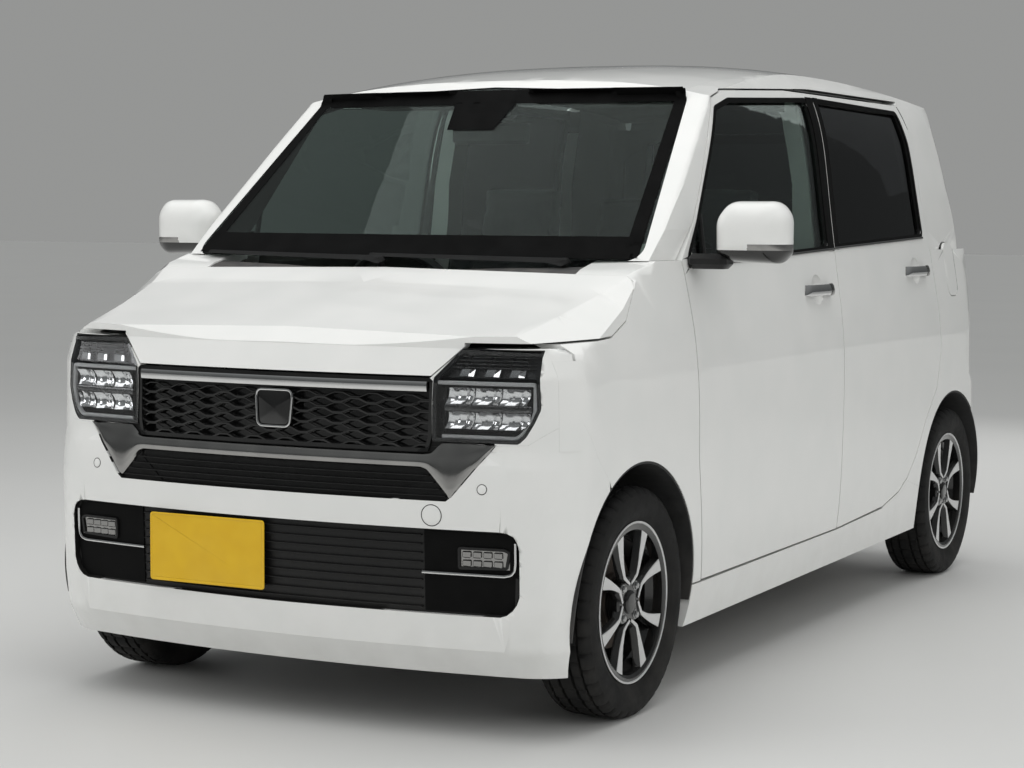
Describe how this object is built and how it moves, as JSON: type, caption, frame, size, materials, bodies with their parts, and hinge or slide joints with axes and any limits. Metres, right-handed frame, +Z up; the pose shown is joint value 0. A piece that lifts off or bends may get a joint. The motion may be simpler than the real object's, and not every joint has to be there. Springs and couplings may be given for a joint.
{
  "type": "kei car",
  "caption": "Tall five-door kei car with hinged doors, bonnet, tailgate and fuel lid, steered front wheels, hollow cabin with seats, and running gear.",
  "frame": {"origin": "on the ground under the middle of the car's box", "axes": "-Y is the car's front, +X its left side, +Z up"},
  "size_m": [1.9078, 3.3947, 1.6759],
  "materials": {
    "body_paint": "pearl white paint",
    "bumper_paint": "pearl white paint on plastic",
    "structure": "primer grey",
    "glass_clear": "greenish clear",
    "glass_dark": "dark privacy",
    "black_plastic": "grained black",
    "gloss_black": "gloss black",
    "lamp_clear": "clear lens",
    "lamp_red": "red lens",
    "seat_fabric": "dark woven",
    "dash_plastic": "soft grain",
    "alloy": "machined face, black inside",
    "tyre": "black rubber",
    "iron": "bare",
    "steel": "bright",
    "chassis": "black paint",
    "liner": "felted black",
    "tank": "black",
    "engine": "cast",
    "exhaust": "dull"
  },
  "bodies": {
    "body": {"side_frame_left": "body_paint", "side_frame_right": "body_paint", "floor_pan": "structure", "bulkhead": "structure", "roof_panel": "body_paint", "front_fenders": "body_paint", "front_bumper": "bumper_paint", "rear_bumper": "bumper_paint", "windscreen": "glass_clear", "upper_grille": "gloss_black", "lower_grille": "black_plastic", "headlights": "lamp_clear", "tail_lamps": "lamp_red", "dashboard": "dash_plastic", "front_seats": "seat_fabric", "rear_seat": "seat_fabric", "engine_block": "engine", "fuel_tank": "tank", "exhaust": "exhaust", "rear_axle": "chassis", "front_suspension": "chassis", "sill_covers": "bumper_paint", "arch_liners": "liner", "wipers": "black_plastic"},
    "bonnet": {"bonnet": "body_paint"},
    "tailgate": {"tailgate": "body_paint", "tailgate_glass": "glass_dark"},
    "fuel_lid": {"fuel_lid": "body_paint"},
    "steering_wheel": {"steering_wheel": "dash_plastic"},
    "front_door_left": {"front_door_left": "body_paint", "front_door_left_glass": "glass_clear", "mirror_left": "bumper_paint"},
    "rear_door_left": {"rear_door_left": "body_paint", "rear_door_left_glass": "glass_dark"},
    "knuckle_left": {"knuckle_left": "iron"},
    "front_wheel_left": {"tyre_front_left": "tyre", "rim_front_left": "alloy", "brake_disc_left": "iron"},
    "rear_wheel_left": {"tyre_rear_left": "tyre", "rim_rear_left": "alloy"},
    "front_door_right": {"front_door_right": "body_paint", "front_door_right_glass": "glass_clear", "mirror_right": "bumper_paint"},
    "rear_door_right": {"rear_door_right": "body_paint", "rear_door_right_glass": "glass_dark"},
    "knuckle_right": {"knuckle_right": "iron"},
    "front_wheel_right": {"tyre_front_right": "tyre", "rim_front_right": "alloy", "brake_disc_right": "iron"},
    "rear_wheel_right": {"tyre_rear_right": "tyre", "rim_rear_right": "alloy"}
  },
  "joints": [
    {"name": "front_door_left_hinge", "type": "hinge", "parent": "body", "child": "front_door_left", "pos_m": [0.74, -0.894, 0.68], "axis": [0, 0, -1], "range_deg": [0, 68]},
    {"name": "rear_door_left_hinge", "type": "hinge", "parent": "body", "child": "rear_door_left", "pos_m": [0.74, 0.202, 0.68], "axis": [0, 0, -1], "range_deg": [0, 68]},
    {"name": "front_door_right_hinge", "type": "hinge", "parent": "body", "child": "front_door_right", "pos_m": [-0.74, -0.894, 0.68], "axis": [0, 0, 1], "range_deg": [0, 68]},
    {"name": "rear_door_right_hinge", "type": "hinge", "parent": "body", "child": "rear_door_right", "pos_m": [-0.74, 0.202, 0.68], "axis": [0, 0, 1], "range_deg": [0, 68]},
    {"name": "bonnet_hinge", "type": "hinge", "parent": "body", "child": "bonnet", "pos_m": [0, -1.1745, 1.078], "axis": [-1, 0, 0], "range_deg": [0, 50]},
    {"name": "tailgate_hinge", "type": "hinge", "parent": "body", "child": "tailgate", "pos_m": [0, 1.44, 1.608], "axis": [1, 0, 0], "range_deg": [0, 75]},
    {"name": "fuel_lid_hinge", "type": "hinge", "parent": "body", "child": "fuel_lid", "pos_m": [0.7075, 1.2955, 1.025], "axis": [0.1461, 0, -0.9893], "range_deg": [0, 85]},
    {"name": "steer_left", "type": "hinge", "parent": "body", "child": "knuckle_left", "pos_m": [0.605, -1.2125, 0.19], "axis": [-0.2449, 0, 0.9695], "range_deg": [-35, 35]},
    {"name": "steer_right", "type": "hinge", "parent": "body", "child": "knuckle_right", "pos_m": [-0.605, -1.2125, 0.19], "axis": [0.2449, 0, 0.9695], "range_deg": [-35, 35]},
    {"name": "steering_wheel_turn", "type": "hinge", "parent": "body", "child": "steering_wheel", "pos_m": [-0.325, -0.505, 0.94], "axis": [0, 0.891, 0.454], "range_deg": [-560, 560]},
    {"name": "front_wheel_left_spin", "type": "hinge", "parent": "knuckle_left", "child": "front_wheel_left", "pos_m": [0.6525, -1.2125, 0.2785], "axis": [1, 0, 0], "continuous": true},
    {"name": "rear_wheel_left_spin", "type": "hinge", "parent": "body", "child": "rear_wheel_left", "pos_m": [0.6525, 1.3075, 0.2785], "axis": [1, 0, 0], "continuous": true},
    {"name": "front_wheel_right_spin", "type": "hinge", "parent": "knuckle_right", "child": "front_wheel_right", "pos_m": [-0.6525, -1.2125, 0.2785], "axis": [1, 0, 0], "continuous": true},
    {"name": "rear_wheel_right_spin", "type": "hinge", "parent": "body", "child": "rear_wheel_right", "pos_m": [-0.6525, 1.3075, 0.2785], "axis": [1, 0, 0], "continuous": true}
  ],
  "couplings": [
    {"joint": "steer_right", "follows": "steer_left", "ratio": 1},
    {"joint": "steering_wheel_turn", "follows": "steer_left", "ratio": 16}
  ]
}
